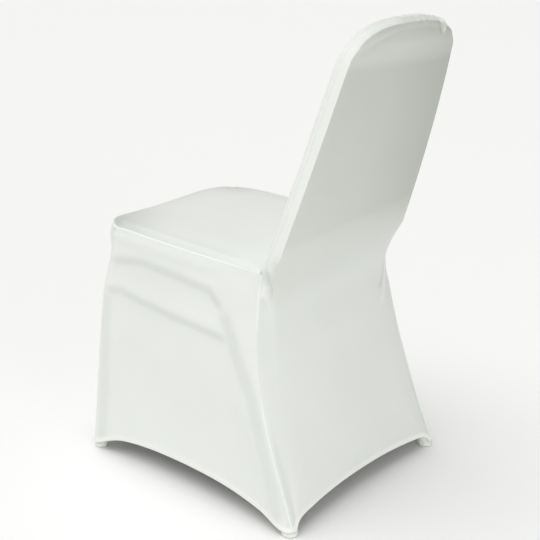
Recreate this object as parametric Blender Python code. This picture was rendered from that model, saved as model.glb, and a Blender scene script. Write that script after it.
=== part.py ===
# Stretch cover with a round-topped backrest: one skin, cut along its seams into sewn panels.
# Metres, +Z up. It faces -Y, and +X is its left. Depth is measured along +Y from the middle of
# the seat, and the last step puts the origin on the floor under the middle of the box.
import math

import bmesh
import bpy
from mathutils import Vector

SHEET = 0.002  # the cloth
SEAM_GAP = 0.0005  # between two sewn panels, along the skin
SEAM_PROUD = 0.0008  # how far the seam allowances lift the cloth
WELD = 0.00002
LEAST_LEAN = 0.6  # at a sharp fold the inner side goes in by the sheet over this at most
STRAIGHT_ON = 0.95  # a seam that turns less than this cosine runs straight on
SHARP_EDGE = math.radians(50)

# Seat
SEAT_HEIGHT = 0.482
SEAT_HALF_WIDTH = 0.182
SEAT_BOW = 0.003  # the sides of the seat bow out
SEAT_FRONT = -0.215
SEAT_CORNERS = {1: (0.038, 0.045), -1: (0.085, 0.110)}  # across and along, by side
SEAT_DROP = {1: 0.0, -1: 0.005}  # the seat seam sinks on the right
SEAT_DROP_BY = 0.6  # share of the side along which it sinks
SEAT_CROWN = (0.017, 0.001)  # at the left and the right edge
SEAT_CROWN_POWER = 6
SEAT_CROWN_EDGE = 0.45  # under 1, the seat rises steeply from its edge
CREASE_RISE = 0.008  # the crease behind the seat is higher in the middle
CREASE_EDGE = 0.5
FRONT_CORNER = math.radians(45)  # the middle of a front corner, where its fold comes up

# Backrest, given at its rear edge by the height above the seat seam
BACK_TOP = 0.444
BACK_DEPTH = (0.2281, 0.3618, -0.1223)  # depth = a + b * height + c * height squared
BACK_HALF_WIDTH = (0.2007, -0.0640, -0.1067)
BACK_SHOULDER = 0.363  # height at which the sides turn into the round top
BACK_ROUND = {1: 3.1, -1: 2.5}  # power of the top's curve by side, 2 is an ellipse
BACK_DRIFT = 0.0045  # the top stands a little to the right
BACK_TILT = 0.055  # the top is pulled a little higher on the left
BACK_THICK = 0.0295
REAR_EDGE = (0.006, 0.014)  # radius of the rear edge, at the sides and at the top
EDGE_INSET = 0.3  # share of the seam's inset that the rear edge follows
FRONT_EDGE = 0.010
FRONT_EDGE_LOW = 0.4  # share of the front edge's width at its middle, down at the seat
BACK_SWELL = (0.003, 0.80, 0.10)  # across the rear face: how far out, how high up, how wide
BACK_SWELL_EDGE = 0.7
FRONT_CROWN = 0.010
FRONT_CROWN_EDGE = 0.5

# Feet: the middle of each foot pocket, and the cloth round it
FRONT_FOOT = (0.2115, -0.2220)
REAR_FOOT = (0.2204, 0.2860)
FOOT_SKIN = {"front": 0.0150, "rear": 0.0172}  # radius of the skirt's corner round a foot
FOOT_HEM = 0.012  # height of the hem at a foot
POCKET_RADIUS = {"front": 0.0121, "rear": 0.0142}
POCKET_WALL = 0.0016
POCKET_HEIGHT = 0.026
POCKET_FLARE = 0.0024  # how much wider it is below the hem
POCKET_NECK = {"outside": (0.0116, 0.0104), "inside": (0.0108, 0.0088)}  # heights where it widens
POCKET_BOTTOM = 0.0050  # radius of the pocket's bottom edge
POCKET_SIDES = 16
POCKET_LEAN = {"front": (-0.104, 0.038), "rear": (-0.142, -0.374)}  # inwards per metre up
POCKET_BEND = (0, 30, 60, 90)  # degrees round the pocket's bottom edge

# The seam from each rear foot to the seat's rear corner
CORNER_SEAM = (  # height, half width, depth
    (0.012, 0.2285, 0.3012),
    (0.050, 0.2235, 0.2860),
    (0.100, 0.2215, 0.2660),
    (0.150, 0.2200, 0.2470),
    (0.200, 0.2180, 0.2300),
    (0.250, 0.2145, 0.2155),
    (0.300, 0.2095, 0.2040),
    (0.345, 0.2040, 0.1965),
    (0.385, 0.1975, 0.1915),
    (0.430, 0.1950, 0.1910),
    (0.482, 0.1870, 0.1940),
)

# The fold from each front foot to the seat's front corner
FRONT_FOLD = (  # height, half width, depth
    (0.012, 0.2221, -0.2326),
    (0.150, 0.2080, -0.2275),
    (0.250, 0.2005, -0.2215),
    (0.340, 0.1930, -0.2140),
    (0.390, 0.1860, -0.2075),
    (0.420, 0.1800, -0.2010),
    (0.462, 0.1765, -0.2030),
    (0.482, 0.1709, -0.2018),
)

# Columns of cloth on a side of the skirt, from the corner seam forwards
SIDE_COLUMNS = (  # share of the seat's side, hem half width, hem depth, hem height
    (0.00, 0.2285, 0.3012, 0.0120),
    (0.05, 0.2351, 0.2949, 0.0120),
    (0.11, 0.2376, 0.2860, 0.0125),
    (0.18, 0.2365, 0.2660, 0.0160),
    (0.26, 0.2310, 0.2350, 0.0260),
    (0.35, 0.2255, 0.1900, 0.0345),
    (0.45, 0.2205, 0.1350, 0.0410),
    (0.55, 0.2170, 0.0750, 0.0445),
    (0.64, 0.2150, 0.0100, 0.0455),
    (0.73, 0.2140, -0.0550, 0.0445),
    (0.82, 0.2150, -0.1100, 0.0410),
    (0.91, 0.2180, -0.1600, 0.0350),
    (1.00, 0.2230, -0.1950, 0.0230),
)
SIDE_CORNER_STEPS = 3  # then round the front corner, to its middle

# Rows of cloth from the hem to the seat seam, as shares of the way up, and how far each stands
# out of the stretched sheet along the sides
SKIRT_ROWS = (  # share, push
    (0.000, 0.0),
    (0.018, 0.0006),
    (0.040, 0.0),
    (0.150, 0.0),
    (0.270, 0.0),
    (0.390, 0.0),
    (0.510, 0.0),
    (0.610, -0.0008),
    (0.670, 0.0),
    (0.710, 0.0018),
    (0.755, 0.0),
    (0.820, -0.0008),
    (0.885, 0.0024),
    (0.925, 0.0004),
    (0.965, 0.0030),
    (1.000, 0.0),
)
RIDGE_COLUMN = 3  # the column that stands out as a ridge from the waist to the rear foot
RIDGE_PUSH = 0.0022
RIDGE_START = 0.12  # the ridge is this far up its curve at the hem
RIDGE_SPREAD = 2  # columns from the ridge to where the rows stand out in full

# Columns across the front of the skirt and across the rear hem
FRONT_COLUMNS = 10
FRONT_HEM_ARCH = 0.033
FRONT_HEM_PULL = 0.006  # the hem is drawn in between the feet
FRONT_HEM_EDGE = 0.6
REAR_HEM = (  # share from the middle to the foot, depth, height
    (0.00, 0.2865, 0.0395),
    (0.20, 0.2870, 0.0392),
    (0.40, 0.2885, 0.0380),
    (0.60, 0.2910, 0.0355),
    (0.79, 0.2945, 0.0320),
    (0.94, 0.2985, 0.0270),
    (1.00, 0.3030, 0.0125),
)
REAR_HEM_HALF = 0.2175
REAR_FOOT_TURNS = (62, 71, 80, 90)  # degrees round a rear foot, from the corner seam
WAIST_FADE = (1.7, 10.0)  # how fast the backrest's form dies away down the middle and at the sides

# How far forward the seam lies on the backrest's side, as a share of its thickness
SIDE_SEAM = (  # height above the seat seam, share, how far in from the edge
    (0.000, 1.00, 0.0137),
    (0.011, 0.97, 0.0075),
    (0.025, 0.90, 0.0030),
    (0.050, 0.80, 0.0005),
    (0.100, 0.70, 0.0),
    (0.200, 0.66, 0.0),
    (0.444, 0.66, 0.0),
)
SIDE_HEIGHTS = (0.0, 0.03, 0.07, 0.13, 0.20, 0.29, 0.39, 0.50, 0.62, 0.75, 0.88, 1.0)  # shares
SHOULDER_STATIONS = 5
TOP_STATIONS = 12
SHOULDER_TURN = math.radians(46)  # where the side's cloth meets the top's, round the curve

# Gathers where the back panel goes round the top corners
GATHERS = (  # station, how far the cloth stands out
    (13, 0.0010),
    (15, 0.0014),
    (17, 0.0010),
    (19, 0.0005),
    (24, 0.0006),
    (26, 0.0012),
    (28, 0.0018),
    (30, 0.0016),
    (32, 0.0008),
)

IVORY = {  # colour of each panel, all one cloth
    "back_panel": (0.76, 0.78, 0.73),
    "inside_back_panel": (0.80, 0.82, 0.77),
    "seat_panel": (0.82, 0.84, 0.79),
    "skirt_panel": (0.80, 0.82, 0.77),
    "foot_pocket": (0.74, 0.76, 0.71),
}
CLOTH_ROUGHNESS = 0.72


def read(table, key):
    """The table's other columns at this key, on a smooth curve through its rows."""
    rows = sorted(table)
    last = len(rows) - 1
    place = max(0, min(last - 1, sum(row[0] <= key for row in rows) - 1))
    start, end = rows[place], rows[place + 1]
    before, after = rows[max(place - 1, 0)], rows[min(place + 2, last)]
    step = end[0] - start[0]
    t = min(1.0, max(0.0, (key - start[0]) / step))
    values = []
    for column in range(1, len(start)):
        slope_in = (end[column] - before[column]) / (end[0] - before[0])
        slope_out = (after[column] - start[column]) / (after[0] - start[0])
        values.append(
            (2 * t**3 - 3 * t**2 + 1) * start[column]
            + (t**3 - 2 * t**2 + t) * step * slope_in
            + (3 * t**2 - 2 * t**3) * end[column]
            + (t**3 - t**2) * step * slope_out
        )
    return values


def mix(start, end, share):
    return start + (end - start) * share


def on_side(point, side):
    """The point on the left (side 1) or the right (side -1)."""
    return Vector((side * point.x, point.y, point.z))


def coons(bottom, top, left, right, across, up, fade=lambda share: 1.0):
    """A sheet stretched between four edges, as rows of points from the bottom to the top edge."""
    rows = []
    for j, v in enumerate(up):
        row = []
        for i, u in enumerate(across):
            between = mix(left[j], right[j], u)
            lower = bottom[i] - mix(bottom[0], bottom[-1], u)
            upper = top[i] - mix(top[0], top[-1], u)
            row.append(between + lower * (1 - v) + upper * v ** fade(u))
        rows.append(row)
    return rows


def even(count):
    return [n / count for n in range(count + 1)]


# Skirt


def corner_seam(side):
    """The points of a rear corner seam, one for each row of the skirt."""
    low, high = CORNER_SEAM[0][0], CORNER_SEAM[-1][0]
    points = []
    for share, _ in SKIRT_ROWS:
        height = low + (high - low) * share
        half_width, depth = read(CORNER_SEAM, height)
        points.append(Vector((side * half_width, depth, height)))
    return points


def front_fold(side):
    low, high = FRONT_FOLD[0][0], FRONT_FOLD[-1][0]
    points = []
    for share, _ in SKIRT_ROWS:
        height = low + (high - low) * share
        half_width, depth = read(FRONT_FOLD, height)
        points.append(Vector((side * half_width, depth, height)))
    shift = on_side(seat_corner_point(FRONT_CORNER, side), side) - points[-1]
    for point, (share, _) in zip(points, SKIRT_ROWS):
        point += shift * share**4
    points[0] = on_side(foot_corner_point(FRONT_CORNER), side)
    return points


def seat_corner_point(turn, side):
    """A point on the seat seam round a front corner: 0 faces the side, 90 degrees the front."""
    across, along = SEAT_CORNERS[side]
    return Vector(
        (
            SEAT_HALF_WIDTH - across * (1 - math.cos(turn)),
            SEAT_FRONT + along * (1 - math.sin(turn)),
            SEAT_HEIGHT - SEAT_DROP[side],
        )
    )


def foot_corner_point(turn):
    return Vector(
        (
            FRONT_FOOT[0] + FOOT_SKIN["front"] * math.cos(turn),
            FRONT_FOOT[1] - FOOT_SKIN["front"] * math.sin(turn),
            FOOT_HEM,
        )
    )


def side_edges(side):
    """The hem and the seat seam along a side, from the rear corner to the middle of the front one."""
    hem, seat = [], []
    _, rear_half_width, rear_depth_here = CORNER_SEAM[-1]
    corner_start = seat_corner_point(0, side)
    for share, hem_half_width, hem_depth, hem_height in SIDE_COLUMNS:
        half_width = mix(rear_half_width, corner_start.x, share)
        half_width += SEAT_BOW * math.sin(math.pi * share)
        depth = mix(rear_depth_here, corner_start.y, share)
        hem.append(Vector((hem_half_width, hem_depth, hem_height)))
        sunk = SEAT_DROP[side] * math.sin(math.pi / 2 * min(1.0, share / SEAT_DROP_BY))
        seat.append(Vector((half_width, depth, SEAT_HEIGHT - sunk)))
    for step in range(1, SIDE_CORNER_STEPS + 1):
        turn = FRONT_CORNER * step / SIDE_CORNER_STEPS
        hem.append(foot_corner_point(FRONT_CORNER * (step - 1) / (SIDE_CORNER_STEPS - 1)))
        seat.append(seat_corner_point(turn, side))
    return [on_side(p, side) for p in hem], [on_side(p, side) for p in seat]


def front_edges():
    """The hem and the seat seam across the front, from the left corner's middle to the right's."""
    hem, seat = [], []
    front = math.radians(90)
    steps = range(SIDE_CORNER_STEPS)
    turns = [mix(FRONT_CORNER, front, step / SIDE_CORNER_STEPS) for step in steps]
    for turn in turns:
        hem.append(foot_corner_point(turn))
        seat.append(seat_corner_point(turn, 1))
    foot = foot_corner_point(front)
    left, right = (on_side(seat_corner_point(front, side), side) for side in (1, -1))
    for share in even(FRONT_COLUMNS):
        lift = math.sin(math.pi * share) ** FRONT_HEM_EDGE
        point = mix(foot, on_side(foot, -1), share)
        hem.append(point + Vector((0, FRONT_HEM_PULL * lift, FRONT_HEM_ARCH * lift)))
        seat.append(mix(left, right, share))
    for turn in reversed(turns):
        hem.append(on_side(foot_corner_point(turn), -1))
        seat.append(on_side(seat_corner_point(turn, -1), -1))
    return hem, seat


def side_sheet(side):
    hem, seat = side_edges(side)
    shares = [share for share, _ in SKIRT_ROWS]
    across = even(len(hem) - 1)
    rows = coons(hem, seat, corner_seam(side), front_fold(side), across, shares)
    out = Vector((side, 0, 0))
    for j, (share, push) in enumerate(SKIRT_ROWS):
        for i in range(1, len(across) - 1):
            ahead = max(0.0, min(1.0, (i - RIDGE_COLUMN) / RIDGE_SPREAD))
            rows[j][i] += out * push * ahead
            if i == RIDGE_COLUMN:
                along = min(1.0, share + RIDGE_START)
                rows[j][i] += out * RIDGE_PUSH * math.sin(math.pi * along)
    return rows


def front_sheet():
    hem, seat = front_edges()
    shares = [share for share, _ in SKIRT_ROWS]
    return coons(hem, seat, front_fold(1), front_fold(-1), even(len(hem) - 1), shares)


# Backrest


def rear_depth(height):
    a, b, c = BACK_DEPTH
    return a + b * height + c * height**2


def lean(height):
    """The direction from the rear face of the backrest to its front face, at right angles to it."""
    slope = BACK_DEPTH[1] + 2 * BACK_DEPTH[2] * height
    return Vector((0, -1, slope)).normalized()


def outline(side):
    """The rear edge of the backrest on one side as (width, height), from the seat up to the top."""
    a, b, c = BACK_HALF_WIDTH
    straight = [(a + b * h + c * h**2, h) for h in (BACK_SHOULDER * n for n in SIDE_HEIGHTS)]
    half_top = TOP_STATIONS // 2
    rest = math.pi / 2 - SHOULDER_TURN
    turns = [SHOULDER_TURN * n / SHOULDER_STATIONS for n in range(1, SHOULDER_STATIONS + 1)]
    turns += [SHOULDER_TURN + rest * n / half_top for n in range(1, half_top + 1)]
    power = 2 / BACK_ROUND[side]
    curved = []
    for turn in turns:
        height = BACK_SHOULDER + (BACK_TOP - BACK_SHOULDER) * math.sin(turn) ** power
        half_width = a + b * height + c * height**2
        width = side * half_width * max(0.0, math.cos(turn)) ** power
        curved.append((width, height + BACK_TILT * width * math.sin(turn) ** 2))
    return [(side * width, height) for width, height in straight] + curved


def stations():
    """Each station round the backrest's edge: its point, outward direction and depth direction."""
    flat = [Vector(point) for point in outline(1) + outline(-1)[-2::-1]]
    found = []
    for n, (x, height) in enumerate(flat):
        before, after = flat[max(n - 1, 0)], flat[min(n + 1, len(flat) - 1)]
        along = (after - before).normalized()
        out = Vector((along.y, 0, -along.x))
        slope = BACK_DEPTH[1] + 2 * BACK_DEPTH[2] * height
        out.y = slope * out.z
        drift = BACK_DRIFT * (height / BACK_TOP) ** 2
        point = Vector((x - drift, rear_depth(height), SEAT_HEIGHT + height))
        found.append((point, out.normalized(), lean(height), height))
    return found


def gather(station):
    return dict(GATHERS).get(station, 0.0)


def rear_band():
    """The back panel's edge of cloth round the backrest: five lines from the seam to the face."""
    lines = [[], [], [], [], []]
    for n, (point, out, forward, height) in enumerate(stations()):
        seam_share, inset = read(SIDE_SEAM, height)
        pucker = out * gather(n)
        radius = mix(*REAR_EDGE, max(0.0, out.z) ** 2)
        round_off = radius * (1 - math.cos(math.radians(45)))
        seam = point + forward * seam_share * BACK_THICK - out * inset
        edge = point + forward * radius + pucker - out * inset * EDGE_INSET
        lines[0].append(seam)
        lines[1].append((seam + edge) / 2 + (out * inset + pucker) / 4)
        lines[2].append(edge)
        lines[3].append(point + (forward - out) * round_off + pucker - forward * gather(n))
        lines[4].append(point - out * radius)
    for end, side in ((0, 1), (-1, -1)):
        lines[0][end] = corner_seam(side)[-1]
    return lines


def front_band():
    """The inside back panel's edge of cloth: three lines from the seam to the front face."""
    lines = [rear_band()[0], [], []]
    for seam, (point, out, forward, height) in zip(lines[0], stations()):
        corner = point + forward * BACK_THICK - out * read(SIDE_SEAM, height)[1]
        face = corner - out * FRONT_EDGE
        lines[1].append(seam / 4 + corner / 2 + face / 4)
        lines[2].append(face)
    for end, side in ((0, 1), (-1, -1)):
        seam = lines[0][end]
        lines[1][end] = seam - Vector((side * FRONT_EDGE * FRONT_EDGE_LOW, 0, 0))
        lines[2][end] = seam - Vector((side * FRONT_EDGE, 0, 0))
    return lines


def face_edges(line, floor_row):
    """The four edges of a face of the backrest, whose left, top and right edges are one line."""
    side = len(SIDE_HEIGHTS) - 1 + SHOULDER_STATIONS
    left, right = line[: side + 1], line[: -side - 2 : -1]
    top = line[side : side + TOP_STATIONS + 1]
    return floor_row, top, left, right


def rear_face():
    line = rear_band()[-1]
    floor_row = [mix(line[0], line[-1], share) for share in even(TOP_STATIONS)]
    bottom, top, left, right = face_edges(line, floor_row)
    up = even(len(left) - 1)
    rows = coons(bottom, top, left, right, even(TOP_STATIONS), up)
    swell, middle, width = BACK_SWELL
    for j, v in enumerate(up):
        out = lean(BACK_TOP * v) * swell * math.exp(-(((v - middle) / width) ** 2))
        for i, u in enumerate(even(TOP_STATIONS)):
            rows[j][i] -= out * math.sin(math.pi * u) ** BACK_SWELL_EDGE
    return rows


def crease(left_end, right_end):
    """The crease between the seat and the backrest, higher in the middle."""
    points = []
    for share in even(TOP_STATIONS):
        rise = CREASE_RISE * math.sin(math.pi * share) ** CREASE_EDGE
        points.append(mix(left_end, right_end, share) + Vector((0, 0, rise)))
    return points


def front_face():
    line = front_band()[2]
    bottom, top, left, right = face_edges(line, crease(line[0], line[-1]))
    up = even(len(left) - 1)
    rows = coons(bottom, top, left, right, even(TOP_STATIONS), up)
    for j, v in enumerate(up):
        for i, u in enumerate(even(TOP_STATIONS)):
            crown = (math.sin(math.pi * u) * math.sin(math.pi * v)) ** FRONT_CROWN_EDGE
            rows[j][i] += lean(BACK_TOP * v) * FRONT_CROWN * crown
    return rows


def seat_sheet():
    bands = front_band()
    rear = [bands[n][0] for n in range(2)] + crease(bands[2][0], bands[2][-1])
    rear += [bands[n][-1] for n in (1, 0)]
    front = front_edges()[1]
    left, right = side_edges(1)[1], side_edges(-1)[1]
    across, up = even(len(front) - 1), even(len(left) - 1)
    rows = coons(rear, front, left, right, across, up)
    for j, v in enumerate(up):
        for i, u in enumerate(across):
            edge = (1 - abs(2 * u - 1) ** SEAT_CROWN_POWER) * (1 - abs(2 * v - 1) ** SEAT_CROWN_POWER)
            rows[j][i].z += mix(*SEAT_CROWN, u) * edge**SEAT_CROWN_EDGE
    return rows


def lower_back():
    """The back panel from the rear hem up to the waist, between the two corner seams."""
    band, face = rear_band(), rear_face()[0]
    waist = [line[0] for line in band[:-1]] + face + [line[-1] for line in band[-2::-1]]
    left, right = corner_seam(1), corner_seam(-1)
    round_foot = []
    for turn in REAR_FOOT_TURNS:
        angle = math.radians(turn)
        round_foot.append(
            Vector(
                (
                    REAR_FOOT[0] + FOOT_SKIN["rear"] * math.cos(angle),
                    REAR_FOOT[1] + FOOT_SKIN["rear"] * math.sin(angle),
                    FOOT_HEM,
                )
            )
        )
    round_foot[0] = left[0]
    hem = list(round_foot)
    half = [Vector((share * REAR_HEM_HALF, depth, height)) for share, depth, height in REAR_HEM]
    hem += half[::-1] + [on_side(point, -1) for point in half[1:]]
    hem += [on_side(p, -1) for p in reversed(round_foot)]
    across = even(len(hem) - 1)
    shares = [share for share, _ in SKIRT_ROWS]

    def fade(u):
        middle, side = WAIST_FADE
        return mix(middle, side, (2 * u - 1) ** 2)

    return coons(hem, waist, left, right, across, shares, fade)


# The whole skin, then its panels

PANELS = ("back_panel", "inside_back_panel", "seat_panel", "skirt_panel")


def add_rows(skin, rows, panel):
    """A grid of faces on these rows of points, marked with its panel."""
    mark = skin.faces.layers.int["panel"]
    across, up = len(rows[0]) - 1, len(rows) - 1
    grid = bmesh.ops.create_grid(skin, x_segments=across, y_segments=up, size=1)["verts"]
    for vert, point in zip(grid, [point for row in rows for point in row]):
        vert.co = point
    for face in {face for vert in grid for face in vert.link_faces}:
        face[mark] = PANELS.index(panel)


def make_skin():
    skin = bmesh.new()
    skin.faces.layers.int.new("panel")
    add_rows(skin, lower_back(), "back_panel")
    add_rows(skin, rear_band(), "back_panel")
    add_rows(skin, rear_face(), "back_panel")
    add_rows(skin, front_band(), "inside_back_panel")
    add_rows(skin, front_face(), "inside_back_panel")
    add_rows(skin, seat_sheet(), "seat_panel")
    add_rows(skin, front_sheet(), "skirt_panel")
    for side in (1, -1):
        add_rows(skin, side_sheet(side), "skirt_panel")
    bmesh.ops.remove_doubles(skin, verts=skin.verts[:], dist=WELD)
    bmesh.ops.recalc_face_normals(skin, faces=skin.faces[:])
    skin.normal_update()
    return skin


def seam_verts(skin):
    mark = skin.faces.layers.int["panel"]
    return [v for v in skin.verts if len({face[mark] for face in v.link_faces}) > 1]


def pull_back(vert, faces, seams):
    """How far this point of a panel moves off the seam, within the panel."""
    moves = []
    for edge in vert.link_edges:
        inside = [face for face in edge.link_faces if face in faces]
        if len(inside) != 1:
            continue
        along = (edge.other_vert(vert).co - vert.co).normalized()
        inward = inside[0].normal.cross(along)
        if inward.dot(inside[0].calc_center_median() - vert.co) < 0:
            inward.negate()
        is_seam = vert in seams and edge.other_vert(vert) in seams and len(edge.link_faces) > 1
        moves.append((inward, SEAM_GAP / 2 if is_seam else 0.0))
    if len(moves) != 2:
        return Vector((0, 0, 0))
    (first, gap_1), (second, gap_2) = moves
    turn = first.dot(second)
    if turn > STRAIGHT_ON:
        return (first + second).normalized() * max(gap_1, gap_2)
    scale = 1 - turn**2
    return first * (gap_1 - turn * gap_2) / scale + second * (gap_2 - turn * gap_1) / scale


def cut_panel(skin, panel):
    """A panel's sheet with its thickness, cut from the skin."""
    mark = skin.faces.layers.int["panel"]
    faces = {face for face in skin.faces if face[mark] == PANELS.index(panel)}
    seams = set(seam_verts(skin))
    piece = bmesh.new()
    copies, depths = {}, {}
    for vert in {vert for face in faces for vert in face.verts}:
        move = pull_back(vert, faces, seams)
        lean_in = sum(vert.normal.dot(face.normal) for face in vert.link_faces)
        depths[vert] = SHEET / max(LEAST_LEAN, lean_in / len(vert.link_faces))
        copies[vert] = piece.verts.new(vert.co + move)
    for face in faces:
        piece.faces.new([copies[vert] for vert in face.verts])
    inner = {copies[vert]: vert.normal * -depths[vert] for vert in copies}
    outer_faces = piece.faces[:]
    result = bmesh.ops.extrude_face_region(piece, geom=outer_faces, use_keep_orig=True)
    fresh = [item for item in result["geom"] if isinstance(item, bmesh.types.BMVert)]
    places = {}
    for vert, shift in inner.items():
        places.setdefault(tuple(round(c, 6) for c in vert.co), shift)
    for vert in fresh:
        vert.co += places[tuple(round(c, 6) for c in vert.co)]
    bmesh.ops.recalc_face_normals(piece, faces=piece.faces[:])
    return piece


def cloth_material(name):
    material = bpy.data.materials.new(name + "_cloth")
    material.use_nodes = True
    shader = material.node_tree.nodes["Principled BSDF"]
    shader.inputs["Base Color"].default_value = (*IVORY[name], 1)
    shader.inputs["Roughness"].default_value = CLOTH_ROUGHNESS
    shader.inputs["Metallic"].default_value = 0
    return material


def make_object(name, shape, material):
    mesh = bpy.data.meshes.new(name)
    shape.to_mesh(mesh)
    shape.free()
    mesh.shade_smooth()
    mesh.set_sharp_from_angle(angle=SHARP_EDGE)
    mesh.materials.append(material)
    made = bpy.data.objects.new(name, mesh)
    bpy.context.scene.collection.objects.link(made)
    return made


def foot_pocket(foot, side, outer, slant):
    """A cup of cloth, turned from its profile and slanted."""
    turns = [math.radians(turn) for turn in POCKET_BEND]
    lines = []
    for face, wall in (("inside", POCKET_WALL), ("outside", 0.0)):
        neck, wide = POCKET_NECK[face]
        line = [(outer - wall, POCKET_HEIGHT), (outer - wall, neck), (outer - wall + POCKET_FLARE, wide)]
        bend = POCKET_BOTTOM - wall
        for turn in turns:
            radius = outer - wall + POCKET_FLARE - bend * (1 - math.cos(turn))
            line.append((radius, POCKET_BOTTOM - bend * math.sin(turn)))
        lines.append(line)
    shape = bmesh.new()
    brims = []
    for line in lines:
        walls = [slanted_ring(shape, foot, side, slant, *point) for point in line]
        for upper, lower in zip(walls, walls[1:]):
            bridge(shape, upper, lower)
        shape.faces.new(walls[-1])
        brims.append(walls[0])
    bridge(shape, *brims)
    bmesh.ops.recalc_face_normals(shape, faces=shape.faces[:])
    return shape


def slanted_ring(shape, foot, side, slant, radius, height):
    ring = bmesh.ops.create_circle(shape, segments=POCKET_SIDES, radius=radius)["verts"]
    rise = height - FOOT_HEM
    centre = Vector((foot[0] + slant[0] * rise, foot[1] + slant[1] * rise, height))
    for vert in ring:
        vert.co += on_side(centre, side)
    return ring


def bridge(shape, first, second):
    for n in range(len(first)):
        after = (n + 1) % len(first)
        shape.faces.new((first[n], first[after], second[after], second[n]))


def stand_on_origin(objects):
    """Moves every mesh so that the origin is on the floor under the middle of the whole box."""
    points = [vert.co for made in objects for vert in made.data.vertices]
    low = [min(point[axis] for point in points) for axis in range(3)]
    high = [max(point[axis] for point in points) for axis in range(3)]
    shift = Vector((-(low[0] + high[0]) / 2, -(low[1] + high[1]) / 2, -low[2]))
    for made in objects:
        for vert in made.data.vertices:
            vert.co += shift
    print("moved by", shift)


def build():
    for old in list(bpy.data.objects):
        bpy.data.objects.remove(old, do_unlink=True)
    skin = make_skin()
    for vert in seam_verts(skin):
        vert.co += vert.normal * SEAM_PROUD
    skin.normal_update()
    made = [make_object(name, cut_panel(skin, name), cloth_material(name)) for name in PANELS]
    skin.free()
    pocket_cloth = cloth_material("foot_pocket")
    for place, foot in (("front", FRONT_FOOT), ("rear", REAR_FOOT)):
        for hand, side in (("left", 1), ("right", -1)):
            shape = foot_pocket(foot, side, POCKET_RADIUS[place], POCKET_LEAN[place])
            made.append(make_object(f"foot_pocket_{place}_{hand}", shape, pocket_cloth))
    stand_on_origin(made)


build()
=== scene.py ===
import math

import bmesh
import bpy
import numpy as np
from mathutils import Matrix, Vector, kdtree, noise
from mathutils.bvhtree import BVHTree


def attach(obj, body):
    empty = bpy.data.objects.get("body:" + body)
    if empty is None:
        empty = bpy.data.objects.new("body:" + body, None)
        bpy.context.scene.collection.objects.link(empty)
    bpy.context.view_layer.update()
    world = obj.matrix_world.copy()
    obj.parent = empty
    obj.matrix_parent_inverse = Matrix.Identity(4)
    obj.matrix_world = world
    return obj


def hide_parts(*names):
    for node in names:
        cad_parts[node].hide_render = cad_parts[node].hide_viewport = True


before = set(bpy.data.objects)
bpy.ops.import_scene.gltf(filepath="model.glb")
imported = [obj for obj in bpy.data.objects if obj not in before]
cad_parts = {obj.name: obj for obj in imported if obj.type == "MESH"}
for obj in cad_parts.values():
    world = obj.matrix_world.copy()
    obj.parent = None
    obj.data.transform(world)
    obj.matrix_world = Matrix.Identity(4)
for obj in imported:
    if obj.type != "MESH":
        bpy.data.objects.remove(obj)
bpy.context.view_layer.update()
print("frame loaded")

# Camera, floor and light

camera = {
    "target": (-0.0274, -0.0288, 0.3832),
    "azimuth": 129.974,  # degrees round from the front, towards its left
    "elevation": 21.88,
    "distance": 2.6777,
    "lens": 89.963,  # millimetres, as the sensor
    "sensor": 36,
}

studio = {
    "floor": (0.93, 0.93, 0.92),
    "floorRoughness": 0.9,
    "floorSize": 30,
    "sky": 0.54,
    "skyLeft": 0.21,  # how much brighter the sky is on the left than in the middle
    "sun": ((0.6, -0.8, 3.0), 70, 1.5),  # from where, its width in degrees, strength
    "fill": ((0.9, 2.4, 0.5), 1.2, 13),  # place, size, power
}


def lookFrom(azimuth, elevation):
    turn, rise = math.radians(azimuth), math.radians(elevation)
    return Vector((math.sin(turn) * math.cos(rise), -math.cos(turn) * math.cos(rise), math.sin(rise)))


def addToScene(made):
    bpy.context.scene.collection.objects.link(made)
    return made


def makeCamera():
    made = addToScene(bpy.data.objects.new("camera", bpy.data.cameras.new("camera")))
    back = lookFrom(camera["azimuth"], camera["elevation"])
    made.location = Vector(camera["target"]) + back * camera["distance"]
    made.rotation_euler = back.to_track_quat("Z", "Y").to_euler()
    made.data.lens = camera["lens"]
    made.data.sensor_width = camera["sensor"]
    bpy.context.scene.camera = made


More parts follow.
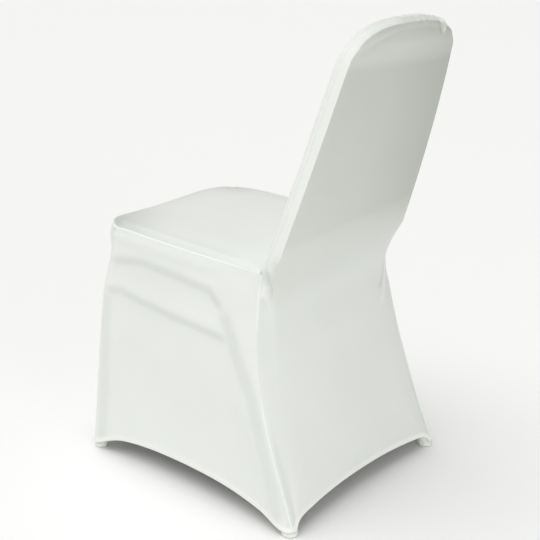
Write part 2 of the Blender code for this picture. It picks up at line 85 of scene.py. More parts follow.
def makeStudio():
    world = bpy.data.worlds.new("studio")
    world.use_nodes = True
    tree = world.node_tree
    sky = tree.nodes["Background"]
    way = tree.nodes.new("ShaderNodeTexCoord")
    split = tree.nodes.new("ShaderNodeSeparateXYZ")
    slope = tree.nodes.new("ShaderNodeMath")
    slope.operation = "MULTIPLY_ADD"
    slope.inputs[1].default_value, slope.inputs[2].default_value = studio["skyLeft"], studio["sky"]
    tree.links.new(way.outputs["Generated"], split.inputs[0])
    tree.links.new(split.outputs["X"], slope.inputs[0])
    tree.links.new(slope.outputs[0], sky.inputs["Strength"])
    sky.inputs["Color"].default_value = (1, 1, 1, 1)
    bpy.context.scene.world = world
    for name, kind in (("sun", "SUN"), ("fill", "AREA")):
        place, size, power = studio[name]
        lamp = bpy.data.lights.new(name, kind)
        lamp.energy = power
        if kind == "SUN":
            lamp.angle = math.radians(size)
        else:
            lamp.shape, lamp.size = "DISK", size
        made = addToScene(bpy.data.objects.new(name, lamp))
        made.location = place
        made.rotation_euler = Vector(place).to_track_quat("Z", "Y").to_euler()
    ground = bmesh.new()
    bmesh.ops.create_grid(ground, x_segments=1, y_segments=1, size=studio["floorSize"])
    mesh = bpy.data.meshes.new("floor")
    ground.to_mesh(mesh)
    ground.free()
    floor = addToScene(bpy.data.objects.new("floor", mesh))
    paint = bpy.data.materials.new("floorPaint")
    paint.use_nodes = True
    shader = paint.node_tree.nodes["Principled BSDF"]
    shader.inputs["Base Color"].default_value = (*studio["floor"], 1)
    shader.inputs["Roughness"].default_value = studio["floorRoughness"]
    mesh.materials.append(paint)
    bpy.context.scene.view_settings.view_transform = "Standard"


makeCamera()
makeStudio()
print("camera, floor and lights made")

# The skin: the outer sides of the four panels, sewn together and made smooth

panels = {  # which way each panel mostly faces
    "back_panel": (0, 1, 0),
    "inside_back_panel": (0, -1, 0.3),
    "seat_panel": (0, 0, 1),
    "skirt_panel": (0, -1, 0),
}

skinLook = {
    "merge": 0.00001,
    "wall": 0.0036,  # no wall of a panel is thicker
    "inside": 0.0001,  # how far under a face the look through the cloth starts
    "facingBack": -0.7,  # the other side of the cloth looks back at least this straight
    "rimAngle": math.radians(50),
    "flatAngle": math.radians(35),
    "quadAngle": math.radians(70),
    "seamReach": (0.0012, 0.0035),  # how far apart sewn edges may lie, at first and above the hem
    "hemTop": 0.1,
    "holeSides": 12,
    "seamCrease": 0.55,
    "mapMargin": 0.002,
    "levels": 3,
    "keepShape": 0.9,
}


def besides(face, limit):
    edges = [edge for edge in face.edges if edge.calc_face_angle(0) < limit]
    return {other for edge in edges for other in edge.link_faces if other is not face}


def outerSide(node, facing):
    shell = bmesh.new()
    shell.from_mesh(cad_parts[node].data)
    bmesh.ops.remove_doubles(shell, verts=shell.verts[:], dist=skinLook["merge"])
    solid = BVHTree.FromBMesh(shell)
    rim = set()
    for face in shell.faces:  # a face on a rim looks along the cloth, not through it
        start = face.calc_center_median() - face.normal * skinLook["inside"]
        across = solid.ray_cast(start, -face.normal, skinLook["wall"])[1]
        if across is None or across.dot(face.normal) > skinLook["facingBack"]:
            rim.add(face)
    left, islands = set(shell.faces) - rim, []
    while left:
        island = [left.pop()]
        for face in island:
            near = besides(face, skinLook["rimAngle"]) & left
            island.extend(near)
            left.difference_update(near)
        islands.append(island)
    islands.sort(key=lambda island: sum(face.calc_area() for face in island))
    way = Vector(facing)  # of the two sides of the cloth, the one that mostly looks this way
    outer = set(max(islands[-2:], key=lambda island: sum(f.calc_area() * f.normal.dot(way) for f in island)))
    outer |= {face for face in rim if besides(face, skinLook["flatAngle"]) & outer}
    return keepFaces(shell, outer)


def keepFaces(shell, kept):
    bmesh.ops.delete(shell, geom=[face for face in shell.faces if face not in kept], context="FACES")
    bmesh.ops.join_triangles(
        shell,
        faces=shell.faces[:],
        angle_face_threshold=skinLook["quadAngle"],
        angle_shape_threshold=skinLook["quadAngle"],
    )
    return shell


def sewSkin():
    skin = bmesh.new()
    for n, (node, facing) in enumerate(panels.items()):
        shell = outerSide(node, facing)
        for face in shell.faces:
            face.material_index = n
        part = bpy.data.meshes.new(node)
        shell.to_mesh(part)
        shell.free()
        skin.from_mesh(part)
        bpy.data.meshes.remove(part)
    for reach, lowest in zip(skinLook["seamReach"], (0, skinLook["hemTop"])):
        loose = [vert for vert in skin.verts if vert.is_boundary and vert.co.z >= lowest]
        bmesh.ops.remove_doubles(skin, verts=loose, dist=reach)
    loose = [edge for edge in skin.edges if edge.is_boundary and edge.verts[0].co.z > skinLook["hemTop"]]
    for face in bmesh.ops.holes_fill(skin, edges=loose, sides=skinLook["holeSides"])["faces"]:
        face.material_index = max(other.material_index for edge in face.edges for other in edge.link_faces)
    crease = skin.edges.layers.float.new("crease_edge")
    for line in skin.edges:
        if len({face.material_index for face in line.link_faces}) > 1:
            line[crease] = skinLook["seamCrease"]
            line.seam = True
    return skin


def smoothed(shape, levels):
    maker = addToScene(bpy.data.objects.new("maker", shape))
    rounding = maker.modifiers.new("rounding", "SUBSURF")
    rounding.levels = rounding.render_levels = levels
    graph = bpy.context.evaluated_depsgraph_get()
    fine = bpy.data.meshes.new_from_object(maker.evaluated_get(graph))
    bpy.data.objects.remove(maker)
    return fine


def coords(mesh):
    flat = np.empty(len(mesh.vertices) * 3)
    mesh.vertices.foreach_get("co", flat)
    return flat.reshape(-1, 3)


def unwrapSkin(shape):
    maker = addToScene(bpy.data.objects.new("maker", shape))
    bpy.context.view_layer.objects.active = maker
    maker.select_set(True)
    bpy.ops.object.mode_set(mode="EDIT")
    bpy.ops.mesh.select_all(action="SELECT")
    bpy.ops.uv.unwrap(method="ANGLE_BASED", margin=skinLook["mapMargin"])
    bpy.ops.object.mode_set(mode="OBJECT")
    bpy.data.objects.remove(maker)
    # one UV unit becomes one metre of cloth
    sides = bmesh.new()
    sides.from_mesh(shape)
    layer = sides.loops.layers.uv.active
    onCloth = onMap = 0.0
    for edge in sides.edges:
        loop = edge.link_loops[0]
        onCloth += edge.calc_length()
        onMap += (loop[layer].uv - loop.link_loop_next[layer].uv).length
    for face in sides.faces:
        for loop in face.loops:
            loop[layer].uv *= onCloth / onMap
    sides.to_mesh(shape)
    sides.free()


skin = sewSkin()
print("skin open edges:", sum(edge.is_boundary for edge in skin.edges), "faces:", len(skin.faces),
      "triangles:", sum(len(face.verts) == 3 for face in skin.faces))
base = bpy.data.meshes.new("skin")
skin.to_mesh(base)
skin.free()
unwrapSkin(base)
wanted = coords(base)
for attempt in range(2):  # the smooth skin is drawn out to the panels' own corners
    rounded = smoothed(base, 1)
    short = wanted - coords(rounded)[: len(wanted)]
    base.vertices.foreach_set("co", (coords(base) + short * skinLook["keepShape"]).ravel())
    bpy.data.meshes.remove(rounded)
fine = smoothed(base, skinLook["levels"])
print("skin smoothed:", len(fine.vertices), "points")

# Folds, seams and hem, as moves along the skin's normals, and painted shade

bands = {  # on both sides of the skirt, points (depth, height) in metres
    "upper": {
        "height": 0.0012, "width": 0.0085, "tint": 0.22,
        "points": ((-0.2455, 0.417), (-0.1675, 0.433), (-0.0755, 0.430), (0.0135, 0.4235), (0.0475, 0.393)),
    },
    "rear": {
        "height": 0.0014, "width": 0.0135, "tint": 0.20,
        "points": ((0.0475, 0.393), (0.0780, 0.350), (0.1080, 0.295), (0.1340, 0.250), (0.1600, 0.176),
                   (0.1870, 0.103), (0.2080, 0.050), (0.2150, 0.025)),
    },
    "lower": {
        "height": 0.0010, "width": 0.0080, "tint": 0.22,
        "points": ((-0.2635, 0.354), (-0.2185, 0.362), (-0.1495, 0.3535), (-0.0755, 0.347), (-0.0035, 0.345),
                   (0.0665, 0.343)),
    },
    "front": {
        "height": 0.0010, "width": 0.011, "tint": 0.13,
        "points": ((-0.2560, 0.350), (-0.2620, 0.200), (-0.2680, 0.020)),
    },
}
bandLook = {
    "ends": (-0.35 / 12, 0.65 / 12),  # shares of its length over which a band fades in
    "sideways": (0.16, 0.56),  # how much the cloth faces to the side where it shows
}

creases = {  # points in metres, how far the cloth stands out there, its width, and painted shade in the fold or, below 0, painted highlight on it
    "waistLeft": (
        ((0.1985, 0.1760, 0.520), (0.1900, 0.1660, 0.480), (0.1820, 0.1490, 0.440)), -0.0006, 0.0110, 0.26,
    ),
    "waistRight": (
        ((-0.1850, 0.1360, 0.408), (-0.1770, 0.1365, 0.376), (-0.1569, 0.1423, 0.350)), -0.0014, 0.0055, 0.5,
    ),
    "waistRightRidge": (
        ((-0.1895, 0.1325, 0.400), (-0.1800, 0.1370, 0.360), (-0.1628, 0.1442, 0.318)), 0.0022, 0.0070, -0.9,
    ),
    "waistNook": (((0.1945, 0.1530, 0.497), (0.1880, 0.1515, 0.462)), -0.0004, 0.0095, 0.32),
    "waistLow": (((0.1870, 0.1510, 0.460), (0.1790, 0.1480, 0.412)), -0.0014, 0.0090, 0.30),
    "pinchLeft": (((0.1843, 0.1301, 0.486), (0.1930, 0.1468, 0.4773)), -0.0006, 0.0050, 0.25),
    "cornerLeft": (((0.1800, -0.2500, 0.4860), (0.1650, -0.2630, 0.4870)), -0.0010, 0.0070, 0.50),
    "cornerRight": (((-0.1732, -0.2550, 0.4874), (-0.1467, -0.2625, 0.493)), -0.0010, 0.0080, 0.4),
    "topValley": (
        ((0.1350, 0.2900, 0.888), (0.0900, 0.2975, 0.903), (0.0284, 0.3001, 0.914), (-0.0400, 0.2990, 0.910),
         (-0.0996, 0.2955, 0.900), (-0.1300, 0.2900, 0.882)), -0.0016, 0.0060, 0.0,
    ),
    "topRidge": (
        ((0.1000, 0.2930, 0.915), (0.0284, 0.2975, 0.926), (-0.0798, 0.2950, 0.917),
         (-0.1177, 0.2940, 0.903)), 0.0010, 0.0055, 0.0,
    ),
    "topPinch": (((-0.0960, 0.2940, 0.924), (-0.1080, 0.2955, 0.892)), -0.0026, 0.0040, 0.95),
    "topPinchRidge": (((-0.1070, 0.2920, 0.918), (-0.1190, 0.2935, 0.890)), 0.0026, 0.0048, -0.55),
    "topPinchEnd": (((-0.1170, 0.2900, 0.912), (-0.1300, 0.2915, 0.888)), -0.0018, 0.0040, 0.9),
    "topPinchSmall": (((-0.0620, 0.2950, 0.924), (-0.0700, 0.2985, 0.906)), -0.0012, 0.0035, 0.4),
    "backEdge": (
        ((0.1950, 0.1870, 0.536), (0.0178, 0.1873, 0.541), (-0.1105, 0.1854, 0.535),
         (-0.1950, 0.1830, 0.530)), 0.0007, 0.0090, 0.0,
    ),
}
footCreases = {  # the same, on both sides
    "foot": (
        ((0.2228, 0.2380, 0.030), (0.2100, 0.2200, 0.100), (0.1900, 0.1980, 0.180)), 0.0007, 0.0070, 0.0,
    ),
    "footIn": (
        ((0.2100, 0.2400, 0.035), (0.1800, 0.2150, 0.085), (0.1400, 0.2000, 0.130)), 0.0006, 0.0080, 0.0,
    ),
}
for name, (line, *look) in footCreases.items():
    creases[name + "Left"] = (line, *look)
    creases[name + "Right"] = ([(-x, y, z) for x, y, z in line], *look)
creaseEnds = (-0.45 / 6, 0.55 / 6)  # shares of its length over which a crease fades in

seatShade = {  # painted shade, darker at the gathered front corners of the seat: place, reach and shade
    "corners": (((0.1700, -0.2560, 0.487), 0.080, 0.42), ((-0.1600, -0.2300, 0.487), 0.040, 0.20)),
    "side": 0.14,  # painted shade too on the slope along the seat's seam and on a narrow strip beside it
    "sideReach": 0.060,
    "seam": 0.26,
    "seamReach": 0.006,
    "seamEnd": (0.09, 0.02),  # both fade out towards the rear
    "upwards": (1 / 3, 2 / 3),
    "heights": (0.47, 0.52),
}

frontPleats = {  # short folds that fan out from the front corners of the seat
    "places": ((0.1790, -0.2520, 0.4830), (-0.1600, -0.2450, 0.4800)),
    "count": 26,  # in a full turn
    "uneven": (1.5, 3),
    "start": 0.010,
    "full": 0.012,
    "reach": 0.024,
    "height": 0.0009,
}

skirtBulge = {  # the skirt rounds out behind the rear corner seams
    "height": 0.0045,
    "sharp": 0.014,  # how soon it rises beside the seam
    "wide": 0.17,
    "low": (0.04, 0.12),
    "high": (0.46, 0.36),
    "rearwards": (1 / 3, 2 / 3),
}

skirtShade = {  # painted shade on the rear of the skirt, so that it is lighter at the left and towards the hem
    "heights": (0.02, 0.20, 0.30, 0.40, 0.44),
    "shades": (0.00, 0.00, 0.03, 0.15, 0.19),
    "across": 0.28,  # more for each metre to the right of its left side
    "left": 0.2,
    "top": (0.45, 0.35),
    "seam": 0.20,  # painted shadow low beside the corner seams
    "seamPlace": 0.007,
    "seamReach": 0.008,
    "seamTop": (0.22, 0.12),
}

backShade = {  # how much darker the back is painted, by height: partly where something dark shows through the thin cloth stretched over it, partly painted shade
    "heights": (0.38, 0.41, 0.45, 0.51, 0.535, 0.552, 0.65, 0.75,
                0.81, 0.845, 0.860, 0.888, 0.900, 0.915, 0.925),
    "shades": (0.00, 0.18, 0.31, 0.42, 0.49, 0.58, 0.67, 0.72,
               0.765, 0.785, 0.670, 0.62, 0.67, 0.74, 0.74),
    "right": 1.2,  # more painted shade for each metre to the right, less to the left, from these heights on
    "left": 0.5,
    "aside": (0.45, 0.55),
    "slant": 0.13,  # towards the top its heights rise to the left
    "slantFrom": (0.80, 0.86),
    "edge": 0.35,  # more painted shade where the cloth turns away at the right
    "edgeTurn": (-0.2 / 3, -0.4),
    "edgeFrom": (0.55, 0.65),
    "top": (0.88, 0.90),
    "roll": 0.30,  # painted shade over the top, right of the shoulder
    "rollFrom": (0.04, 0.0),
    "rollTurn": (-0.05, 0.20),
    "steep": 4,  # how soon the painted shade starts where the cloth turns to the rear
    "start": 2.2,
}

seamLook = {  # a dip's depth and width, then the height, place and width of what stands up beside it
    "backrestSeam": (0.0010, 0.0030, 0.0010, 0.0060, 0.0035),
    "cornerSeam": (0.0009, 0.0028, 0.0004, 0.0070, 0.0040),
    "seatSeam": (0.0008, 0.0024, 0.0, 0.0070, 0.0040),
    "creaseSeam": (0.0020, 0.0040, 0.0006, 0.0080, 0.0040),
}
seamClear = 0.003  # no painted shade nearer than this to a seam

seamFlat = {  # the corner seams lie flat halfway down, and the seat seam gets low at its rear end
    "low": (0.225, 0.275),
    "high": (0.410, 0.360),
    "rear": (0.055, 0.085),
    "rearBy": 0.55,
}

hemLook = {
    "band": (0.0085, 0.0105),
    "proud": 0.0005,
}

unevenness = {
    "height": 0.0004,
    "scales": (9, 27),
    "fine": 0.4,
}

gathers = {  # height, pitch, reach and place of the short gathers beside each seam
    "backrestSeam": (0.00014, 0.0090, 0.008, 0.005),
    "cornerSeam": (0.00020, 0.0120, 0.011, 0.005),
    "seatSeam": (0.00024, 0.0105, 0.009, 0.005),
    "creaseSeam": (0.00030, 0.0120, 0.010, 0.005),
}
gatherLook = {  # how they vary along a seam
    "scale": 14,
    "row": (3.1, 0.4),
    "shift": 5,
    "least": 0.3,
    "more": 1.4,
}

puckerLook = {  # longer ones over the top of the back
    "from": (0.885, 0.915),
    "start": (0.055, 0.015),  # they begin this far left of the middle
    "height": 0.0012,
    "pitch": 0.0185,
    "place": 0.008,
    "reach": 0.013,
    "right": 2.0,  # how much stronger they are at the right end
    "rightFrom": 0.10,
    "lean": 0.6,
    "shift": 8,
    "least": 0.3,
    "more": 1.5,
}


def nearLine(points, line):
    gap, place = np.full(len(points), 9.0), np.zeros(len(points))
    line = np.array(line, float)
    lengths = np.linalg.norm(np.diff(line, axis=0), axis=1)
    done = 0.0
    for start, end, length in zip(line, line[1:], lengths):
        along = (end - start) / length
        reach = np.clip((points - start) @ along, 0, length)
        away = np.linalg.norm(points - start - reach[:, None] * along, axis=1)
        closer = away < gap
        gap[closer], place[closer] = away[closer], (done + reach[closer]) / lengths.sum()
        done += length
    return gap, place


def ramp(values, start, end):
    # 0 at the start, 1 at the end and smooth between them, either way round
    share = np.clip((values - start) / (end - start), 0, 1)
    return share * share * (3 - 2 * share)


def seamChain(mesh, first, second):
    # the points of the seam between two panels, in order, as one line for each stretch of it
    links = {}
    names = list(panels)
    pair = {names.index(first), names.index(second)} if second else None
    shape = bmesh.new()
    shape.from_mesh(mesh)
    shape.verts.ensure_lookup_table()
    for edge in shape.edges:
        found = {face.material_index for face in edge.link_faces}
        if (found == pair) if pair else (edge.is_boundary and found == {names.index(first)}):
            a, b = (vert.index for vert in edge.verts)
            links.setdefault(a, []).append(b)
            links.setdefault(b, []).append(a)
    shape.free()
    chains = []
    while links:
        start = min(links, key=lambda n: (len(links[n]), n))
        chain, here = [start], start
        while True:
            passed = {*chain[-2:], start}
            step = next((n for n in links[here] if n in links and n not in passed), None)
            if step is None:
                break
            chain.append(step)
            if here != start:
                links.pop(here)
            here = step
        for n in (start, here):
            links.pop(n, None)
        if len(chain) > 2:
            chains.append(chain)
    return chains


def treeOf(points):
    tree = kdtree.KDTree(len(points))
    for n, point in enumerate(points):
        tree.insert(point, n)
    tree.balance()
    return tree


seams = {
    "backrestSeam": seamChain(fine, "back_panel", "inside_back_panel"),
    "cornerSeam": seamChain(fine, "back_panel", "skirt_panel"),
    "seatSeam": seamChain(fine, "seat_panel", "skirt_panel"),
    "creaseSeam": seamChain(fine, "seat_panel", "inside_back_panel"),
}
hems = seamChain(fine, "skirt_panel", None) + seamChain(fine, "back_panel", None)
print("seam lines:", {name: [len(chain) for chain in chains] for name, chains in seams.items()},
      "hems:", [len(chain) for chain in hems])


def normalsOf(mesh):
    flat = np.empty(len(mesh.vertices) * 3)
    mesh.vertex_normals.foreach_get("vector", flat)
    return flat.reshape(-1, 3)


def distanceTo(points, chains):
    # how far each point is from the nearest of these lines, and how far along it that is
    lines = [points[chain] for chain in chains]
    starts = np.concatenate([line[:-1] for line in lines])
    steps = np.concatenate([np.diff(line, axis=0) for line in lines])
    lengths = np.linalg.norm(steps, axis=1)
    done = np.concatenate([[0], np.cumsum(lengths)[:-1]])
    tree = treeOf(starts + steps / 2)
    gap, along = np.full(len(points), 9.0), np.zeros(len(points))
    near = np.array([[n for _, n, _ in tree.find_n(point, 3)] for point in points])
    for pick in near.T:
        share = np.clip(((points - starts[pick]) * steps[pick]).sum(axis=1) / lengths[pick] ** 2, 0, 1)
        away = np.linalg.norm(points - starts[pick] - share[:, None] * steps[pick], axis=1)
        closer = away < gap
        gap[closer] = away[closer]
        along[closer] = (done[pick] + share * lengths[pick])[closer]
    return gap, along


def bell(gap, width):
    return np.exp(-((gap / width) ** 2))


def bandShape(points, normals):
    out, tint = np.zeros(len(points)), np.zeros(len(points))
    for band in bands.values():
        gap, place = nearLine(points[:, 1:], band["points"])
        ends = ramp(np.minimum(place, 1 - place), *bandLook["ends"])
        for side in (1, -1):
            shown = ramp(normals[:, 0] * side, *bandLook["sideways"]) * ends
            profile = shown / (1 + (gap / band["width"]) ** 4)
            out += band["height"] * profile
            tint = np.maximum(tint, band["tint"] * profile)
    return out, tint


# the folds' moves, with their painted shade and painted highlights
def creaseShape(points):
    out, paintedShade, paintedHighlight = np.zeros((3, len(points)))
    for line, height, width, shade in creases.values():
        gap, place = nearLine(points, line)
        shape = bell(gap, width) * ramp(np.minimum(place, 1 - place), *creaseEnds)
        out += height * shape
        paintedShade = np.maximum(paintedShade, shade * shape)
        paintedHighlight = np.maximum(paintedHighlight, -shade * shape)
    return out, paintedShade, paintedHighlight


def gatherShape(points, name, gap, along):
    height, pitch, reach, place = gathers[name]
    wobble = np.array([noise.noise((s * gatherLook["scale"], *gatherLook["row"])) for s in along])
    wave = np.sin(2 * math.pi * along / pitch + gatherLook["shift"] * wobble)
    strength = gatherLook["least"] + gatherLook["more"] * np.abs(wobble)
    out = height * wave * bell(gap - place, reach) * strength
    if name == "backrestSeam":
        out += puckerShape(points, gap, along, wobble)
    return out


def puckerShape(points, gap, along, wobble):
    x, _, z = points.T
    strength = 1 + (puckerLook["right"] - 1) * ramp(-x, 0, puckerLook["rightFrom"])
    strength *= ramp(x, *puckerLook["start"]) * ramp(z, *puckerLook["from"])
    strength *= puckerLook["least"] + puckerLook["more"] * np.abs(wobble)
    leaning = along + puckerLook["lean"] * gap
    wave = np.sin(2 * math.pi * leaning / puckerLook["pitch"] + puckerLook["shift"] * wobble)
    return puckerLook["height"] * wave * bell(gap - puckerLook["place"], puckerLook["reach"]) * strength


# painted shade over the back and the rear of the skirt, with the dark showing through the thin cloth
def backPaintedShade(points, normals):
    x, _, z = points.T
    top = ramp(z, *backShade["top"])
    slanted = z - backShade["slant"] * x * ramp(z, *backShade["slantFrom"])
    shade = np.interp(slanted, backShade["heights"], backShade["shades"])
    aside = np.where(x < 0, -backShade["right"] * x, -backShade["left"] * x)
    shade += aside * ramp(z, *backShade["aside"])
    edge = ramp(normals[:, 0], *backShade["edgeTurn"]) * ramp(z, *backShade["edgeFrom"])
    shade += backShade["edge"] * edge
    skirt = np.interp(z, skirtShade["heights"], skirtShade["shades"])
    skirt += skirtShade["across"] * (skirtShade["left"] - x) * ramp(z, *skirtShade["top"])
    steep = backShade["steep"] * (1 + top)
    start = backShade["start"] + backShade["steep"] * top
    shown = ramp(normals[:, 1] * steep, start, start + 1)
    roll = top * ramp(x, *backShade["rollFrom"]) * ramp(normals[:, 1], *backShade["rollTurn"])
    return np.maximum(np.clip(np.maximum(shade, skirt), 0, 1) * shown, backShade["roll"] * roll)


# painted shade on the seat: its front corners, the slope along its seam and a strip beside the seam
def seatPaintedShade(points, normals, seamGap):
    tint = np.zeros(len(points))
    for place, reach, shade in seatShade["corners"]:
        tint = np.maximum(tint, shade * bell(np.linalg.norm(points - place, axis=1), reach))
    strip = seatShade["side"] * ramp(seamGap, seatShade["sideReach"], 0)
    strip += seatShade["seam"] * bell(seamGap, seatShade["seamReach"])
    tint += strip * ramp(points[:, 1], *seatShade["seamEnd"])
    low, high = seatShade["heights"]
    return tint * ramp(normals[:, 2], *seatShade["upwards"]) * (points[:, 2] > low) * (points[:, 2] < high)


def pleatShape(points):
    out = np.zeros(len(points))
    by, times = frontPleats["uneven"]
    for place in frontPleats["places"]:
        away = points - place
        turn = np.arctan2(away[:, 1], away[:, 0])
        gap = np.linalg.norm(away, axis=1)
        ring = ramp(gap, 0, frontPleats["start"])
        ring *= bell(np.maximum(gap - frontPleats["full"], 0), frontPleats["reach"])
        out += frontPleats["height"] * np.cos(turn * frontPleats["count"] + by * np.sin(turn * times)) * ring
    return out


def seamShown(points, name):
    _, y, z = points.T
    if name == "cornerSeam":
        return 1 - ramp(z, *seamFlat["low"]) * ramp(z, *seamFlat["high"])
    if name == "seatSeam":
        return 1 - seamFlat["rearBy"] * ramp(y, *seamFlat["rear"])
    return np.ones(len(points))


def besideCorner(points, normals, gap):
    # how far the rear of the skirt stands out beside the corner seams, and the painted shadow there
    _, _, z = points.T
    rear = ramp(normals[:, 1], *skirtBulge["rearwards"])
    rise = (1 - np.exp(-gap / skirtBulge["sharp"])) * ramp(gap, skirtBulge["wide"], 0)
    rise *= ramp(z, *skirtBulge["low"]) * ramp(z, *skirtBulge["high"]) * rear
    beside = bell(gap - skirtShade["seamPlace"], skirtShade["seamReach"]) * rear
    beside *= ramp(z, *skirtShade["seamTop"])
    return skirtBulge["height"] * rise, skirtShade["seam"] * beside


def unevenShape(points):
    coarse, fine = unevenness["scales"]
    waves = [
        noise.noise(Vector(point) * coarse) + unevenness["fine"] * noise.noise(Vector(point) * fine)
        for point in points
    ]
    return unevenness["height"] * np.array(waves)


def shapeCloth(mesh):
    points, normals = coords(mesh), normalsOf(mesh)
    out, tint = bandShape(points, normals)
    lines, paintedShade, paintedHighlight = creaseShape(points)
    out += lines + pleatShape(points)
    distances = {name: distanceTo(points, chains) for name, chains in seams.items()}
    # the bands' dark showing through, with the painted shade of creases, back and seat
    for more in (paintedShade, backPaintedShade(points, normals), seatPaintedShade(points, normals, distances["seatSeam"][0])):
        tint = np.maximum(tint, more)
    # painted highlights on ridges take the tint away
    tint *= 1 - paintedHighlight
    for name, (gap, along) in distances.items():
        out += gatherShape(points, name, gap, along)
        deep, wide, roll, rollAt, rollWide = seamLook[name]
        shown = seamShown(points, name)
        out += (roll * bell(gap - rollAt, rollWide) - deep * bell(gap, wide)) * shown
        tint *= 1 - bell(gap, seamClear) * shown
        if name == "cornerSeam":
            rise, shade = besideCorner(points, normals, gap)
            out += rise
            tint = np.maximum(tint, shade)
    hemGap, _ = distanceTo(points, hems)
    band = 1 - ramp(hemGap, *hemLook["band"])
    out += hemLook["proud"] * band + unevenShape(points)
    mesh.vertices.foreach_set("co", (points + normals * out[:, None]).ravel())
    # tint: dark showing through and painted shade; hemBand: the doubled hem
    for name, values in (("tint", tint), ("hemBand", band)):
        mesh.attributes.new(name, "FLOAT", "POINT").data.foreach_set("value", values)
    mesh.update()


shapeCloth(fine)
print("folds, seams and hem shaped")

# Cloth

clothLook = {
    "ivory": (0.800, 0.824, 0.786),
    "shown": (0.390, 0.414, 0.370),  # where something dark shows through the thin knit, and painted shade
    "hem": (0.850, 0.865, 0.820),
    "cloudScale": 7.0,  # soft uneven patches, their spread and the least and most colour
    "cloudDetail": 3.0,
    "cloudSpread": (0.3, 0.7),
    "cloudColour": (0.985, 1.012),
    "roughness": 0.62,
    "specular": 0.3,
    "sheen": 0.25,
    "sheenRoughness": 0.40,
    "thickness": 0.0008,
    "knitWave": 1100,  # radians of the knit's waves in a metre, across and along, for 175 ribs
    "knitDepth": 0.00012,
    "knitStrength": 0.5,
}
waveStep = 20  # radians of a wave texture in a metre, at a scale of 1


def addNode(tree, kind, **values):
    node = tree.nodes.new("ShaderNode" + kind)
    for key, value in values.items():
        if key in node.bl_rna.properties:
            setattr(node, key, value)
        else:
            node.inputs[key].default_value = value
    return node


def addMix(tree, first, second, share):
    # the first colour where the attribute named share is 0, the second where it is 1
    mix = addNode(tree, "Mix", data_type="RGBA")
    colours = [socket for socket in mix.inputs if socket.type == "RGBA"]
    tree.links.new(first, colours[0])
    colours[1].default_value = (*second, 1)
    tree.links.new(addNode(tree, "Attribute", attribute_name=share).outputs["Fac"], mix.inputs[0])
    return next(socket for socket in mix.outputs if socket.type == "RGBA")


def makeCloth(name, look):
    material = bpy.data.materials.new(name)
    material.use_nodes = True
    tree = material.node_tree
    shader = tree.nodes["Principled BSDF"]
    link = tree.links.new
    cloud = addNode(tree, "TexNoise", Scale=look["cloudScale"], Detail=look["cloudDetail"])
    place = addNode(tree, "TexCoord")
    link(place.outputs["Object"], cloud.inputs["Vector"])
    base = addNode(tree, "ValToRGB")
    for stop, spread, share in zip(base.color_ramp.elements, look["cloudSpread"], look["cloudColour"]):
        stop.position = spread
        stop.color = (*[min(1, c * share) for c in look["ivory"]], 1)
    link(cloud.outputs["Fac"], base.inputs["Fac"])
    # darker by the tint: dark showing through and painted shade
    dimmed = addMix(tree, base.outputs["Color"], look["shown"], "tint")
    link(addMix(tree, dimmed, look["hem"], "hemBand"), shader.inputs["Base Color"])
    flat = addNode(tree, "UVMap")
    knit = addNode(tree, "Math", operation="MULTIPLY")
    for n, way in enumerate("XY"):
        wave = addNode(
            tree, "TexWave", wave_type="BANDS", bands_direction=way, Scale=look["knitWave"] / waveStep
        )
        link(flat.outputs["UV"], wave.inputs["Vector"])
        link(wave.outputs["Fac"], knit.inputs[n])
    bump = addNode(tree, "Bump", Strength=look["knitStrength"], Distance=look["knitDepth"])
    link(knit.outputs[0], bump.inputs["Height"])
    link(bump.outputs["Normal"], shader.inputs["Normal"])
    shader.inputs["Roughness"].default_value = look["roughness"]
    shader.inputs["Sheen Weight"].default_value = look["sheen"]
    shader.inputs["Sheen Roughness"].default_value = look["sheenRoughness"]
    shader.inputs["Specular IOR Level"].default_value = look["specular"]
    return material


spandex = makeCloth("ivorySpandex", clothLook)

threadLook = {
    "colour": (0.76, 0.77, 0.72),
    "paintedShade": 0.93,  # painted shade between its strands, as a share of that colour
    "roughness": 0.45,
    "twist": 900,  # radians of its strands' wave in a metre
}


def makeThread(name, look):
    material = bpy.data.materials.new(name)
    material.use_nodes = True
    tree = material.node_tree
    shader = tree.nodes["Principled BSDF"]
    place = addNode(tree, "TexCoord")
    twist = addNode(
        tree, "TexWave", wave_type="BANDS", bands_direction="DIAGONAL", Scale=look["twist"] / waveStep
    )
    tree.links.new(place.outputs["Object"], twist.inputs["Vector"])
    shade = addNode(tree, "ValToRGB")
    shade.color_ramp.elements[0].color = (*[c * look["paintedShade"] for c in look["colour"]], 1)
    shade.color_ramp.elements[1].color = (*look["colour"], 1)
    tree.links.new(twist.outputs["Fac"], shade.inputs["Fac"])
    tree.links.new(shade.outputs["Color"], shader.inputs["Base Color"])
    shader.inputs["Roughness"].default_value = look["roughness"]
    return material


def cutPanel(mesh, number, name):
    piece = bmesh.new()
    piece.from_mesh(mesh)
    others = [face for face in piece.faces if face.material_index != number]
    bmesh.ops.delete(piece, geom=others, context="FACES")
    for face in piece.faces:
        face.material_index = 0
        face.smooth = True
    shape = bpy.data.meshes.new(name)
    piece.to_mesh(shape)
    piece.free()
    shape.materials.append(spandex)
    made = addToScene(bpy.data.objects.new(name, shape))
    wall = made.modifiers.new("thickness", "SOLIDIFY")
    wall.thickness, wall.offset = clothLook["thickness"], -1
    wall.use_even_offset = False
    return made


pieces = {}
for number, node in enumerate(panels):
    pieces[node] = cutPanel(fine, number, node.replace("_panel", "_cloth"))
    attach(pieces[node], "root")
    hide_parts(node)
print("panels cut")

# Seam rolls, where the cloth turns in over its seam allowances, and the hem's stitches

